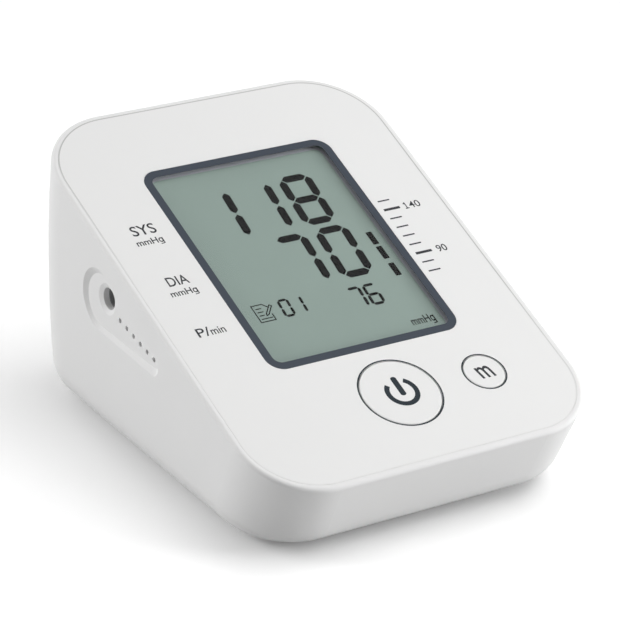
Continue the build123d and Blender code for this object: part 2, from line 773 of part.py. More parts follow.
shaft_tail = motor_end - head_wall
motor = rod_x(motor_radius, motor_start, motor_end, pump_y, pump_up)
motor = chamfer(motor.edges(), 0.8)
motor += rod_x(bush_radius, motor_end - 0.5, motor_end + bush_height, pump_y, pump_up)
for side in (-1, 1):
    middle = pump_y + side * terminal_side
    motor += box_between((motor_end - 0.5, middle - terminal_width / 2, pump_up - terminal_thickness / 2),
                         (motor_end + terminal_length, middle + terminal_width / 2,
                          pump_up + terminal_thickness / 2))
motor -= rod_x(shaft_radius + running_gap, motor_start - 1, shaft_tail + 0.5, pump_y, pump_up)
save("pump_motor", motor)
sleeve_end = motor_end - 1
sleeve = tube_cut(motor_radius + sleeve_wall, motor_radius + 0.02, sleeve_end - sleeve_length, sleeve_end)
save("pump_sleeve", sleeve)
save("pump_shaft", rod_x(shaft_radius, hub_end + 1, shaft_tail, pump_y, pump_up))

pin_tip = crank_end + 0.6
pin_run = hub_end - pin_tip
pin_lean = atan(crank_offset / pin_run)
hub = rod_x(hub_radius, hub_start, hub_end, pump_y, pump_up)
hub -= rod_x(shaft_radius, hub_end + 1, hub_start + 1, pump_y, pump_up)
pin_axis = Plane(origin=(pin_tip, pump_y, pump_up), z_dir=(cos(pin_lean), 0, sin(pin_lean)))
pin_length = pin_run / cos(pin_lean) + 0.6
hub += pin_axis * Pos(0, 0, pin_length / 2) * Cylinder(drive_pin_radius, pin_length)
save("pump_crank", hub)

head_shell = rod_x(pump_head_radius, motor_start, crank_end, pump_y, pump_up)
head_shell -= rod_x(pump_head_radius - head_wall, motor_start - head_wall, crank_end - 1, pump_y, pump_up)
head_shell -= rod_x(shaft_radius + 1, motor_start + 1, motor_start - head_wall - 1, pump_y, pump_up)
save("pump_head", head_shell)

cup_places = [around_pump(90 + 360 / cup_count * i, cup_circle, 0) for i in range(cup_count)]
rocker = rod_x(rocker_radius, rocker_near, rocker_far, pump_y, pump_up)
swing = crank_offset + drive_pin_radius + 0.4
save("pump_rocker", rocker - rod_x(swing, rocker_near + 1, rocker_far - 1, pump_y, pump_up))
diaphragm = rod_x(pump_head_radius, crank_end, crank_end - diaphragm_thickness, pump_y, pump_up)
for x, y, z in cup_places:
    diaphragm += rod_x(cup_radius, crank_end - diaphragm_thickness / 2, rocker_far, y, z)
    diaphragm -= rod_x(cup_radius - 0.8, crank_end - diaphragm_thickness - 1, rocker_far - 0.8, y, z)
save("pump_diaphragm", diaphragm)
plate_end = crank_end - diaphragm_thickness
valve_plate = rod_x(pump_head_radius, plate_end, plate_end - valve_plate_thickness, pump_y, pump_up)
for x, y, z in cup_places:
    valve_plate -= rod_x(0.8, plate_end + 1, plate_end - valve_plate_thickness - 1, y, z)
save("pump_valve_plate", valve_plate)
cap_start = pump_start + pump_cap_length
pump_cap = rod_x(pump_head_radius, cap_start, pump_start, pump_y, pump_up)
pump_cap = chamfer(edges_where(pump_cap, lambda a, b, c: abs(c.X - pump_start) < 0.01), 1.0)
pump_cap -= rod_x(pump_head_radius - head_wall, cap_start + 1, pump_start + head_wall, pump_y, pump_up)
pump_cap += rod_x(barb_radius, pump_start + 0.5, pump_start - barb_length, pump_y, pump_up)
pump_cap -= rod_x(air_way, pump_start + head_wall + 1, pump_start - barb_length - 1, pump_y, pump_up)
save("pump_cap", pump_cap)

# ------------------------------------------------------------------ air line
socket_back_x = socket_face + socket_depth
body_radius = socket_radius + socket_wall
socket = rod_x(body_radius, socket_face, barb_base, socket_y, socket_up)
socket += rod_x(body_radius + 1.8, socket_face, socket_face + socket_flange, socket_y, socket_up)
socket += rod_x(barb_radius, barb_base - 0.5, barb_base + barb_length, socket_y, socket_up)
socket -= rod_x(socket_radius, socket_face - 1, socket_back_x, socket_y, socket_up)
socket -= rod_x(air_way, socket_face, barb_base + barb_length + 1, socket_y, socket_up)
save("air_socket", socket)

joint_middle = Vector(joint_side, socket_y, joint_up)
arm_reach = joint_radius + barb_length


def joint_arm(direction, radius, near, end):
    """a rod on one of the joint's ports, between two distances from its middle"""
    port = Plane(origin=joint_middle + direction * near, z_dir=direction)
    return port * Pos(0, 0, (end - near) / 2) * Cylinder(radius, end - near)


ports = [Vector(1, 0, 0), Vector(-1, 0, 0), Vector(0, 1, 0), Vector(0, 0, 1)]
joint = Pos(*joint_middle) * Box(2 * joint_radius, 2 * joint_radius, 2 * joint_radius)
joint = fillet(joint.edges(), joint_radius * 0.3)
for port in ports:
    joint += joint_arm(port, barb_radius, joint_radius - 0.5, arm_reach)
joint -= rod_x(air_way, joint_side - arm_reach - 1, joint_side + arm_reach + 1, socket_y, joint_up)
for port in ports[2:]:
    joint -= joint_arm(port, air_way * 0.9, 0, arm_reach + 1)
save("air_joint", joint)


def tube(points, bend=tube_bend):
    """a soft tube along straight runs with rounded bends"""
    path = FilletPolyline(*points, radius=bend) if len(points) > 2 else Line(*points)
    start = Plane(origin=path @ 0, z_dir=path % 0)
    return sweep(start * Circle(tube_radius), path=path) - sweep(start * Circle(tube_bore), path=path)


save("socket_tube", tube([(barb_base, socket_y, socket_up), (joint_side, socket_y, socket_up),
                          (joint_side, socket_y, joint_up + joint_radius)]))
save("pump_tube", tube([(joint_side - joint_radius, socket_y, joint_up), (pump_run_x, socket_y, joint_up),
                        (pump_run_x, pump_y, pump_up), (pump_start, pump_y, pump_up)]))
valve_run = [(joint_side + joint_radius, socket_y, joint_up), (valve_side, socket_y, joint_up)]
save("valve_tube", tube(valve_run))
nozzle_base = deck.from_local_coords(Vector(sensor_side, sensor_up, -sensor_bottom))
drop = (nozzle_base.Z - joint_up) / cos(slope)
elbow = nozzle_base - deck.z_dir * drop
turn_y = socket_y + arm_reach + turn_space
save("sensor_tube", tube([(joint_side, socket_y + joint_radius, joint_up), (joint_side, turn_y, joint_up),
                          tuple(elbow), tuple(nozzle_base)], sensor_bend))

# exhaust valve
valve = box_between((valve_side, socket_y - valve_width / 2, joint_up - valve_width / 2),
                    (valve_side + valve_length, socket_y + valve_width / 2, joint_up + valve_width / 2))
valve = chamfer(valve.edges(), 0.5)
valve += rod_x(barb_radius, valve_side + 0.5, valve_side - barb_length, socket_y, joint_up)
bore_start = valve_side + 3
plunger_length = valve_length - 7
plunger_end = bore_start + plunger_length
valve -= rod_x(plunger_bore, bore_start, plunger_end + valve_travel + 0.4, socket_y, joint_up)
valve -= rod_x(air_way, bore_start + 1, valve_side - barb_length - 1, socket_y, joint_up)
save("valve_body", valve)
plunger = rod_x(plunger_bore - running_gap, bore_start + 0.05, plunger_end, socket_y, joint_up)
save("valve_plunger", plunger)

# ------------------------------------------------------------------ mains socket
jack = box_between((jack_face - jack_length, jack_y - jack_width / 2, jack_up - jack_height / 2),
                   (jack_face, jack_y + jack_width / 2, jack_up + jack_height / 2))
jack -= rod_x(jack_bore, jack_face - jack_bore_depth, jack_face + 1, jack_y, jack_up)
jack += rod_x(jack_pin, jack_face - jack_bore_depth - 0.5, jack_face - 1, jack_y, jack_up)
save("mains_socket", jack)
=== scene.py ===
# Desktop blood pressure monitor: finishes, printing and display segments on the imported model.
# Metres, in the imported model's frame: +Z up, +X to the user's right, +Y away from the user.
from math import atan2, pi, radians

import bpy
from mathutils import Matrix, Vector


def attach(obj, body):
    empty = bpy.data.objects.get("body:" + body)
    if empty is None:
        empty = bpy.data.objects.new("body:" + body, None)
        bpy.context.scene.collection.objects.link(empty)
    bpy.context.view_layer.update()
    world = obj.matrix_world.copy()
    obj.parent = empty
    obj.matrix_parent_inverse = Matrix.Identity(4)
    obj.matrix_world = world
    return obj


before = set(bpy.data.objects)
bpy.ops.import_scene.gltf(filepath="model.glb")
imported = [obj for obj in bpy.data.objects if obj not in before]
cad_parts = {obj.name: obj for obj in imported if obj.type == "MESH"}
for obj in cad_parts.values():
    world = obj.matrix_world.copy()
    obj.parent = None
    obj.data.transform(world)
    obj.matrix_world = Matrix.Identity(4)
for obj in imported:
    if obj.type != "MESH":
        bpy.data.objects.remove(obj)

bpy.ops.object.select_all(action="DESELECT")
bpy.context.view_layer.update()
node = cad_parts

# ------------------------------------------------------------------ case mouldings
# The upper housing, the bottom cover and the battery door are injection-moulded ABS, off-white.
# Their outer faces carry a fine satin texture from the mould; the cover screws up into the housing.


def moulded_surface():
    """Node group: the cloudy colour, uneven satin and fine pits of moulded plastic or rubber."""
    noise_low, noise_high = 0.3, 0.7
    group = bpy.data.node_groups.new("moulded surface", "ShaderNodeTree")
    for name, kind in (("Place", "NodeSocketVector"), ("Colour", "NodeSocketColor"),
                       ("Shade", "NodeSocketColor"), ("Grain", "NodeSocketFloat"), ("Cloud", "NodeSocketFloat"),
                       ("Low gloss", "NodeSocketFloat"), ("High gloss", "NodeSocketFloat")):
        group.interface.new_socket(name=name, in_out="INPUT", socket_type=kind)
    for name, kind in (("Colour", "NodeSocketColor"), ("Roughness", "NodeSocketFloat"),
                       ("Height", "NodeSocketFloat")):
        group.interface.new_socket(name=name, in_out="OUTPUT", socket_type=kind)
    nodes, links = group.nodes, group.links
    given = nodes.new("NodeGroupInput")
    out = nodes.new("NodeGroupOutput")
    pits = nodes.new("ShaderNodeTexNoise")
    pits.inputs["Detail"].default_value = 3.0
    cloud = nodes.new("ShaderNodeTexNoise")
    cloud.inputs["Detail"].default_value = 2.0
    for texture, size in ((pits, "Grain"), (cloud, "Cloud")):
        links.new(given.outputs["Place"], texture.inputs["Vector"])
        links.new(given.outputs[size], texture.inputs["Scale"])
    tint = nodes.new("ShaderNodeMix")
    tint.data_type = "RGBA"
    links.new(cloud.outputs["Fac"], tint.inputs["Factor"])
    links.new(given.outputs["Colour"], tint.inputs["A"])
    links.new(given.outputs["Shade"], tint.inputs["B"])
    gloss = nodes.new("ShaderNodeMapRange")
    gloss.inputs["From Min"].default_value = noise_low
    gloss.inputs["From Max"].default_value = noise_high
    links.new(pits.outputs["Fac"], gloss.inputs["Value"])
    links.new(given.outputs["Low gloss"], gloss.inputs["To Max"])
    links.new(given.outputs["High gloss"], gloss.inputs["To Min"])
    links.new(tint.outputs["Result"], out.inputs["Colour"])
    links.new(gloss.outputs["Result"], out.inputs["Roughness"])
    links.new(pits.outputs["Fac"], out.inputs["Height"])
    return group


moulded = moulded_surface()


def moulding(name, colour, shade, grain, gloss, pit_depth, cloud=35.0, **sockets):
    """A moulded finish: two close colours, pits per metre, the range of roughness and the pits' depth in metres."""
    pit_strength = 0.6
    material = bpy.data.materials.new(name)
    material.use_nodes = True
    nodes, links = material.node_tree.nodes, material.node_tree.links
    shader = nodes["Principled BSDF"]
    place = nodes.new("ShaderNodeTexCoord")
    skin = nodes.new("ShaderNodeGroup")
    skin.node_tree = moulded
    skin.name = "skin"
    skin.inputs["Colour"].default_value = (*colour, 1)
    skin.inputs["Shade"].default_value = (*shade, 1)
    skin.inputs["Grain"].default_value = grain
    skin.inputs["Cloud"].default_value = cloud
    skin.inputs["Low gloss"].default_value = gloss[0]
    skin.inputs["High gloss"].default_value = gloss[1]
    bump = nodes.new("ShaderNodeBump")
    bump.inputs["Distance"].default_value = pit_depth
    bump.inputs["Strength"].default_value = pit_strength
    links.new(place.outputs["Object"], skin.inputs["Place"])
    links.new(skin.outputs["Colour"], shader.inputs["Base Color"])
    links.new(skin.outputs["Roughness"], shader.inputs["Roughness"])
    links.new(skin.outputs["Height"], bump.inputs["Height"])
    links.new(bump.outputs["Normal"], shader.inputs["Normal"])
    for socket, value in sockets.items():
        shader.inputs[socket.replace("_", " ")].default_value = value
    return material


def dress(material, *names):
    """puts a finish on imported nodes"""
    for name in names:
        node[name].data.materials.clear()
        node[name].data.materials.append(material)


case_white = moulding("case white", colour=(0.84, 0.84, 0.835), shade=(0.815, 0.815, 0.815), grain=2600,
                      gloss=(0.54, 0.66), pit_depth=0.000012)
dress(case_white, "upper_housing", "bottom_cover", "battery_door")

# ------------------------------------------------------------------ finger hollow
# A rounded pocket in the bottom cover lets a fingertip reach the springy tongue of the battery door.
# It is moulded with the cover: a thin bowl that closes the cover's notch from inside.
hollow_center = (0.0, 0.03437, 0.0015)
hollow_radius = 0.00705
hollow_wall = 0.0008
cover_top = 0.00386
bay_wall_back = 0.03445
bpy.ops.mesh.primitive_uv_sphere_add(segments=72, ring_count=36, radius=hollow_radius, location=hollow_center)
hollow = bpy.context.object
bpy.ops.object.transform_apply(location=True, rotation=True, scale=True)
bpy.ops.object.mode_set(mode="EDIT")
for cut, kept_side in (((0, 0, cover_top), (0, 0, 1)), ((0, bay_wall_back, 0), (0, 1, 0))):
    bpy.ops.mesh.select_all(action="SELECT")
    bpy.ops.mesh.bisect(plane_co=cut, plane_no=kept_side, clear_inner=True)
bpy.ops.object.mode_set(mode="OBJECT")
shell = hollow.modifiers.new("wall", "SOLIDIFY")
shell.thickness = hollow_wall
shell.offset = 1.0
bpy.ops.object.modifier_apply(modifier="wall")
bpy.ops.object.shade_smooth_by_angle(angle=radians(40))
hollow.name = "finger_hollow"
hollow.data.name = "finger_hollow"
hollow.data.materials.append(case_white)
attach(hollow, "case")

# ------------------------------------------------------------------ feet and case screws
# Four soft grey rubber pads are stuck into round recesses of the bottom cover.
# Four zinc-plated pan head screws hold the cover from below.


def metal(name, colour, roughness, across, along, streak=0.12):
    """Plated or drawn metal with fine streaks: how many streaks per metre across and along the object's X."""
    material = bpy.data.materials.new(name)
    material.use_nodes = True
    nodes, links = material.node_tree.nodes, material.node_tree.links
    shader = nodes["Principled BSDF"]
    shader.inputs["Metallic"].default_value = 1.0
    place = nodes.new("ShaderNodeTexCoord")
    stretch = nodes.new("ShaderNodeMapping")
    stretch.inputs["Scale"].default_value = (along, across, across)
    streaks = nodes.new("ShaderNodeTexNoise")
    streaks.inputs["Scale"].default_value = 1.0
    streaks.inputs["Detail"].default_value = 4.0
    tint = nodes.new("ShaderNodeMix")
    tint.data_type = "RGBA"
    tint.inputs["A"].default_value = (*colour, 1)
    tint.inputs["B"].default_value = (*[c * (1 - 2 * streak) for c in colour], 1)
    gloss = nodes.new("ShaderNodeMapRange")
    gloss.inputs["To Min"].default_value = roughness - streak
    gloss.inputs["To Max"].default_value = roughness + streak
    links.new(place.outputs["Object"], stretch.inputs["Vector"])
    links.new(stretch.outputs["Vector"], streaks.inputs["Vector"])
    links.new(streaks.outputs["Fac"], tint.inputs["Factor"])
    links.new(streaks.outputs["Fac"], gloss.inputs["Value"])
    links.new(tint.outputs["Result"], shader.inputs["Base Color"])
    links.new(gloss.outputs["Result"], shader.inputs["Roughness"])
    return material


foot_rubber = moulding("foot rubber", colour=(0.20, 0.20, 0.205), shade=(0.16, 0.16, 0.165), grain=4200,
                       gloss=(0.75, 0.92), pit_depth=0.00003)
dress(foot_rubber, "foot_front_left", "foot_front_right", "foot_back_left", "foot_back_right")
zinc = metal("zinc plate", colour=(0.62, 0.63, 0.65), roughness=0.34, across=900, along=900)
dress(zinc, "case_screws")

# ------------------------------------------------------------------ face plate
# A flat satin ABS plate is bonded into the deck, flush with the housing's rim.
# A fine line of painted shade marks the joint between the two; it is painted darker towards the back and the right,
# and fades to the mouldings' own colour towards the front and the left.
deck_slope = radians(22.0)
deck_front = Vector((0.0, -0.06606, 0.0224))
deck = Matrix.Translation(deck_front) @ Matrix.Rotation(deck_slope, 4, "X")
# flat trim lies a hundredth of a millimetre deep in the face that carries it
trim_sink = 0.00001

face_white = moulding("face plate white", colour=(0.835, 0.835, 0.83), shade=(0.825, 0.825, 0.82), grain=5200,
                      gloss=(0.46, 0.56), pit_depth=0.000004)
dress(face_white, "faceplate")


def settle(piece, name, depth, material, body):
    """Lays a flat piece from the XY plane onto the deck, at a depth below its face, and fixes it to a body."""
    bpy.ops.object.select_all(action="DESELECT")
    piece.select_set(True)
    bpy.context.view_layer.objects.active = piece
    piece.matrix_world = deck @ Matrix.Translation((0, 0, -depth)) @ piece.matrix_world
    bpy.ops.object.transform_apply(location=True, rotation=True, scale=True)
    piece.name = name
    piece.data.name = name
    piece.data.materials.clear()
    piece.data.materials.append(material)
    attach(piece, body)
    return piece


def thicken(thickness):
    """gives the active flat mesh a thickness upwards from the XY plane"""
    bpy.ops.object.mode_set(mode="EDIT")
    bpy.ops.mesh.select_all(action="SELECT")
    bpy.ops.mesh.extrude_region_move(TRANSFORM_OT_translate={"value": (0, 0, thickness)})
    bpy.ops.mesh.select_all(action="SELECT")
    bpy.ops.mesh.normals_make_consistent(inside=False)
    bpy.ops.object.mode_set(mode="OBJECT")


def open_middle(width):
    """leaves only a band of a width round the edge of the active flat face"""
    bpy.ops.object.mode_set(mode="EDIT")
    bpy.ops.mesh.select_all(action="SELECT")
    bpy.ops.mesh.inset(thickness=width)
    bpy.ops.mesh.delete(type="FACE")
    bpy.ops.object.mode_set(mode="OBJECT")


# the line is painted shade: dark towards the back and the right, and as pale as the mouldings towards the front and
# the left
unshaded_pale, painted_shade_dark = (0.815, 0.815, 0.81), (0.55, 0.55, 0.545)
shade_way, unshaded_at, shaded_at = (0.7, 1.0, 0.0), -0.035, 0.020
joint_painted_shade = moulding("painted joint shade", colour=unshaded_pale, shade=painted_shade_dark, grain=3000, gloss=(0.60, 0.70),
                      pit_depth=0.000004)
nodes, links = joint_painted_shade.node_tree.nodes, joint_painted_shade.node_tree.links
place = nodes.new("ShaderNodeTexCoord")
along = nodes.new("ShaderNodeVectorMath")
along.operation = "DOT_PRODUCT"
along.inputs[1].default_value = shade_way
shade_amount = nodes.new("ShaderNodeMapRange")
shade_amount.inputs["From Min"].default_value = unshaded_at
shade_amount.inputs["From Max"].default_value = shaded_at
# painted shade: the line's colour darkens towards the back and the right
shaded = nodes.new("ShaderNodeMix")
shaded.data_type = "RGBA"
shaded.inputs["A"].default_value = (*unshaded_pale, 1)
shaded.inputs["B"].default_value = (*painted_shade_dark, 1)
links.new(place.outputs["Object"], along.inputs[0])
links.new(along.outputs["Value"], shade_amount.inputs["Value"])
links.new(shade_amount.outputs["Result"], shaded.inputs["Factor"])
links.new(shaded.outputs["Result"], nodes["skin"].inputs["Colour"])
links.new(shaded.outputs["Result"], nodes["skin"].inputs["Shade"])

# the line follows the plate's own outline, whose corners lie clear of the window and the button holes
joint_width = 0.00034
joint_thickness = 0.00002
openings_reach, openings_front, openings_back = 0.033, 0.010, 0.118
plate_middle = 0.069
under_face = -0.0001
to_deck = deck.inverted() @ node["faceplate"].matrix_world
plate_points = {tuple(round(c, 6) for c in to_deck @ corner.co) for corner in node["faceplate"].data.vertices}
edge_points = [Vector((x, y, 0)) for x, y, z in plate_points
               if z > under_face and (abs(x) > openings_reach or y < openings_front or y > openings_back)]
edge_points.sort(key=lambda point: atan2(point.y - plate_middle, point.x))
bpy.ops.mesh.primitive_circle_add(vertices=len(edge_points), fill_type="NGON", location=(0, 0, 0))
joint = bpy.context.object
order = sorted(joint.data.vertices, key=lambda corner: atan2(corner.co.y, corner.co.x))
for corner, point in zip(order, edge_points):
    corner.co = point
joint.data.update()
open_middle(joint_width)
thicken(joint_thickness)
# the line of painted shade is laid on the deck over the joint
settle(joint, "joint_shade_line", trim_sink, joint_painted_shade, "case")

# ------------------------------------------------------------------ printing on the face plate
# The legends and the pressure scale are pad-printed in dark grey, a few hundredths of a millimetre thick.
# Each row below gives the name, the words, the middle across, the baseline up the deck, the width and the height.
ink_thickness = 0.00003
ink = moulding("printed ink", colour=(0.024, 0.025, 0.030), shade=(0.036, 0.037, 0.042), grain=9000,
               gloss=(0.50, 0.62), pit_depth=0.000003, cloud=300.0, Specular_IOR_Level=0.25)


def legend(words, x, up, width, height, thickness, weight=0.0, slant=0.0):
    """Words as a thin mesh, centred at x on a baseline, made as wide and as tall in its capitals as asked."""
    bpy.ops.object.text_add(location=(0, 0, 0))
    text = bpy.context.object
    text.data.body = words
    text.data.size = 0.01
    text.data.resolution_u = 4
    text.data.extrude = thickness / 2
    text.data.offset = weight
    text.data.shear = slant
    bpy.ops.object.convert(target="MESH")
    letters = bpy.context.object
    corners = [v.co for v in letters.data.vertices]
    left = min(c.x for c in corners)
    right = max(c.x for c in corners)
    top = max(c.y for c in corners)
    letters.scale = (width / (right - left), height / top, 1)
    letters.location = (x - (left + right) / 2 * letters.scale.x, up, thickness / 2)
    bpy.ops.object.transform_apply(location=True, rotation=True, scale=True)
    return letters


def joined(pieces):
    """several meshes as one"""
    bpy.ops.object.select_all(action="DESELECT")
    for piece in pieces:
        piece.select_set(True)
    bpy.context.view_layer.objects.active = pieces[0]
    bpy.ops.object.join()
    return pieces[0]


def sheet(length, width, corner, steps):
    """a flat rectangle round the origin with its corners cut or rounded, made the active mesh"""
    bpy.ops.mesh.primitive_plane_add(size=1.0, location=(0, 0, 0))
    piece = bpy.context.object
    piece.scale = (length, width, 1)
    bpy.ops.object.transform_apply(location=False, rotation=False, scale=True)
    bpy.ops.object.mode_set(mode="EDIT")
    bpy.ops.mesh.select_all(action="SELECT")
    bpy.ops.mesh.bevel(offset=corner, segments=steps, affect="VERTICES")
    bpy.ops.object.mode_set(mode="OBJECT")
    return piece


def bar(x, up, length, width, thickness, turn=0.0, round_ends=True):
    """a flat printed bar, with round ends or with crisp corners"""
    corner, steps = (0.42, 4) if round_ends else (0.08, 1)
    piece = sheet(length, width, min(length, width) * corner, steps)
    thicken(thickness)
    piece.location = (x, up, 0)
    piece.rotation_euler = (0, 0, turn)
    bpy.ops.object.transform_apply(location=True, rotation=True, scale=True)
    return piece


def unit_legend(x, up, width, height, thickness, weight):
    """the unit of pressure, set out in shares of its width and height; its last letter is a bowl, stem and hook"""
    letters = legend("mmH", x - width * 0.115, up, width * 0.77, height, thickness, weight)
    bowl = legend("o", x + width * 0.390, up - height * 0.01, width * 0.17, height * 0.77, thickness, weight)
    stroke = height * 0.125
    stem = bar(x + width * 0.462, up + height * 0.25, height, stroke, thickness, turn=pi / 2, round_ends=False)
    hook = bar(x + width * 0.395, up - height * 0.26, width * 0.15, stroke, thickness, turn=0.10)
    return joined([letters, bowl, stem, hook])


legend_weight = 0.00008
for name, words, x, up, width, height in (
        ("legend_sys", "SYS", -0.03767, 0.09326, 0.0071, 0.0035),
        ("legend_dia", "DIA", -0.03763, 0.07421, 0.0061, 0.0032),
        ("legend_pulse", "P/", -0.03992, 0.05586, 0.0037, 0.0030),
        ("legend_pulse_unit", "min", -0.03583, 0.05586, 0.0042, 0.0023),
        ("legend_low", "90", 0.03918, 0.06600, 0.0031, 0.0024)):
    words_mesh = legend(words, x, up, width, height, ink_thickness, weight=legend_weight)
    settle(words_mesh, name, trim_sink, ink, "case")

# the upper number of the scale: its one has a flag and a foot, drawn as bars
one_x, high_up, stroke = 0.03798, 0.08300, 0.00031
high_mark = [legend("40", 0.04070, high_up, 0.0034, 0.0024, ink_thickness, weight=0.00002),
             bar(one_x, high_up + 0.0012, 0.0024, stroke, ink_thickness, turn=pi / 2, round_ends=False),
             bar(one_x + 0.00004, high_up + stroke / 2, 0.00115, stroke, ink_thickness, round_ends=False),
             bar(one_x - 0.00022, high_up + 0.00208, 0.00070, stroke, ink_thickness, turn=0.75, round_ends=False)]
settle(joined(high_mark), "legend_high", trim_sink, ink, "case")

unit_x, unit_width, unit_height, unit_weight = -0.03777, 0.0080, 0.0021, 0.00012
for name, up in (("legend_sys_unit", 0.08966), ("legend_dia_unit", 0.07066)):
    settle(unit_legend(unit_x, up, unit_width, unit_height, ink_thickness, unit_weight), name, trim_sink, ink,
           "case")

tick_start, tick_top, tick_step, tick_count = 0.0309, 0.08752, 0.0034, 9
heavy_ticks = (1, 6)
ticks = []
for i in range(tick_count):
    length, width = (0.0051, 0.00085) if i in heavy_ticks else (0.0037, 0.00046)
    ticks.append(bar(tick_start + length / 2, tick_top - i * tick_step, length, width, ink_thickness,
                     round_ends=False))
settle(joined(ticks), "pressure_scale", trim_sink, ink, "case")

# ------------------------------------------------------------------ display window and its border
# A clear acrylic window sits flush in the face plate.
# The dark slate border is printed round its edge.
window_clear = bpy.data.materials.new("clear acrylic")
window_clear.use_nodes = True
nodes, links = window_clear.node_tree.nodes, window_clear.node_tree.links
pane = nodes["Principled BSDF"]
pane.inputs["Base Color"].default_value = (0.97, 0.985, 0.98, 1)
pane.inputs["Transmission Weight"].default_value = 1.0
pane.inputs["IOR"].default_value = 1.15
place = nodes.new("ShaderNodeTexCoord")
smears = nodes.new("ShaderNodeTexNoise")
smears.inputs["Scale"].default_value = 60.0
smear_gloss = nodes.new("ShaderNodeMapRange")
smear_gloss.inputs["To Min"].default_value = 0.01
smear_gloss.inputs["To Max"].default_value = 0.05
links.new(place.outputs["Object"], smears.inputs["Vector"])
links.new(smears.outputs["Fac"], smear_gloss.inputs["Value"])
links.new(smear_gloss.outputs["Result"], pane.inputs["Roughness"])
# light passes straight through to the display below
light_path = nodes.new("ShaderNodeLightPath")
pass_light = nodes.new("ShaderNodeBsdfTransparent")
either = nodes.new("ShaderNodeMath")
either.operation = "MAXIMUM"
through = nodes.new("ShaderNodeMixShader")
links.new(light_path.outputs["Is Shadow Ray"], either.inputs[0])
links.new(light_path.outputs["Is Diffuse Ray"], either.inputs[1])
links.new(either.outputs["Value"], through.inputs["Fac"])
links.new(pane.outputs["BSDF"], through.inputs[1])
links.new(pass_light.outputs["BSDF"], through.inputs[2])
links.new(through.outputs["Shader"], nodes["Material Output"].inputs["Surface"])
dress(window_clear, "display_window")

border_slate = moulding("border slate", colour=(0.034, 0.045, 0.063), shade=(0.039, 0.050, 0.070), grain=3000,
                        gloss=(0.35, 0.45), pit_depth=0.000003, Specular_IOR_Level=0.2)
dress(border_slate, "window_border")

# ------------------------------------------------------------------ display glass
# The liquid crystal glass is grey-green behind its polariser; a pale margin round its edge is painted light, which
# lifts the shade that the border casts on the glass.
# A white plastic frame holds it, and two rubber strips below it carry the contacts to the board.
lcd_field = moulding("liquid crystal field", colour=(0.248, 0.318, 0.288), shade=(0.275, 0.350, 0.318), grain=6000,
                     gloss=(0.30, 0.42), pit_depth=0.000002, cloud=25.0, Specular_IOR_Level=0.2)
dress(lcd_field, "lcd_glass")
frame_white = moulding("display frame", colour=(0.80, 0.80, 0.79), shade=(0.76, 0.76, 0.75), grain=2600,
                       gloss=(0.40, 0.52), pit_depth=0.00001)
dress(frame_white, "lcd_frame")
strip_rubber = moulding("connector strip rubber", colour=(0.10, 0.10, 0.105), shade=(0.16, 0.15, 0.15), grain=3000,
                        gloss=(0.6, 0.8), pit_depth=0.00002)
dress(strip_rubber, "lcd_connector_strips")

glass_face_depth = 0.00170
glass_middle_up = 0.0770
margin_across, margin_up_deck, margin_corner = 0.0555, 0.0721, 0.0033
margin_width = 0.00130
margin_thickness = 0.00002
# the margin's pale grey is painted light over the shade under the border's inner edge
margin_painted_light = moulding("painted light margin", colour=(0.47, 0.48, 0.53), shade=(0.50, 0.51, 0.56), grain=5000,
                       gloss=(0.35, 0.45), pit_depth=0.000002, cloud=25.0, Specular_IOR_Level=0.2)
margin = sheet(margin_across, margin_up_deck, margin_corner, steps=8)
open_middle(margin_width)
thicken(margin_thickness)
margin.location = (0, glass_middle_up, 0)
settle(margin, "display_margin", glass_face_depth, margin_painted_light, "case")

# ------------------------------------------------------------------ display segments
# The segments that are switched on look like black ink on the glass.
# Seven pointed bars make a digit; the level bars, the unit and the memory sign are segments as well.
segment_black = moulding("segment black", colour=(0.007, 0.007, 0.008), shade=(0.011, 0.011, 0.011), grain=5000,
                         gloss=(0.50, 0.60), pit_depth=0.000001, cloud=200.0, Specular_IOR_Level=0.0)
segment_thickness = 0.00003
lean = Matrix.Identity(4)
lean[0][1] = 0.062
lit = {"0": "abcdef", "1": "bc", "6": "acdefg", "7": "abc", "8": "abcdefg"}


def digit(shown, x, up, half_width, half_height, width):
    """a seven-segment digit, leaning a little to the right"""
    gap = width * 0.11
    point = width * 0.49
    flat = 2 * half_width - 2 * gap
    tall = half_height - 2 * gap
    places = {"a": (0, half_height, 0), "g": (0, 0, 0), "d": (0, -half_height, 0),
              "f": (-half_width, half_height / 2, 1), "b": (half_width, half_height / 2, 1),
              "e": (-half_width, -half_height / 2, 1), "c": (half_width, -half_height / 2, 1)}
    pieces = []
    for letter in lit[shown]:
        across, rise, upright = places[letter]
        piece = sheet(tall if upright else flat, width, point, 1)
        thicken(segment_thickness)
        piece.matrix_world = Matrix.Translation((across, rise, 0)) @ Matrix.Rotation(upright * pi / 2, 4, "Z")
        bpy.ops.object.transform_apply(location=True, rotation=True, scale=True)
        pieces.append(piece)
    whole = joined(pieces)
    whole.data.transform(Matrix.Translation((x, up, 0)) @ lean)
    return whole


# a digit's half width and half height, and the width of its segments
pressure_size = (0.00396, 0.00822, 0.00234)
pulse_size = (0.00163, 0.00337, 0.00088)
memory_size = (0.00131, 0.00276, 0.00076)
for name, shown, x, up, size in (
        ("digit_upper_hundreds", "1", -0.01297, 0.09485, pressure_size),
        ("digit_upper_tens", "1", -0.00005, 0.09485, pressure_size),
        ("digit_upper_ones", "8", 0.01287, 0.09485, pressure_size),
        ("digit_lower_tens", "7", -0.00005, 0.07449, pressure_size),
        ("digit_lower_ones", "0", 0.01287, 0.07449, pressure_size),
        ("digit_pulse_tens", "7", 0.00770, 0.05809, pulse_size),
        ("digit_pulse_ones", "6", 0.01250, 0.05809, pulse_size),
        ("digit_memory_tens", "0", -0.01322, 0.06012, memory_size),
        ("digit_memory_ones", "1", -0.00935, 0.06012, memory_size)):
    settle(digit(shown, x, up, *size), name, glass_face_depth, segment_black, "case")

